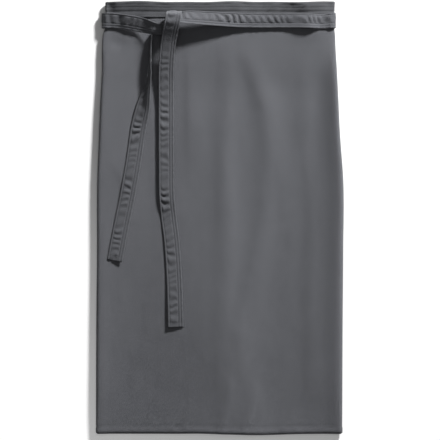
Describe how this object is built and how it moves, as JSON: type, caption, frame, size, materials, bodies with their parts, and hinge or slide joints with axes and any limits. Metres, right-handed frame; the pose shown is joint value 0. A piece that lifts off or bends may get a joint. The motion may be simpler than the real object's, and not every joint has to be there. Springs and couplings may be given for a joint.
{
  "type": "waist apron with tied waist ties",
  "caption": "Long waist apron of twill, wrapped with its sides folded behind and lying flat, its flat waist ties crossed at the back and tied in a half knot at the front.",
  "frame": {"origin": "on the surface that the apron lies on, under the middle of the cloth", "axes": "+X to the apron's right in the picture, +Y up to the waistband, +Z out of the front"},
  "size_m": [0.4594, 0.8, 0.0474],
  "materials": {
    "cloth": "matt charcoal grey twill",
    "band": "matt charcoal grey twill, folded and stitched",
    "tie": "matt charcoal grey twill, folded and edge-stitched"
  },
  "bodies": {
    "root": {"apron_panel": "cloth", "waistband": "band", "tie_long": "tie", "tie_short": "tie"}
  },
  "joints": []
}
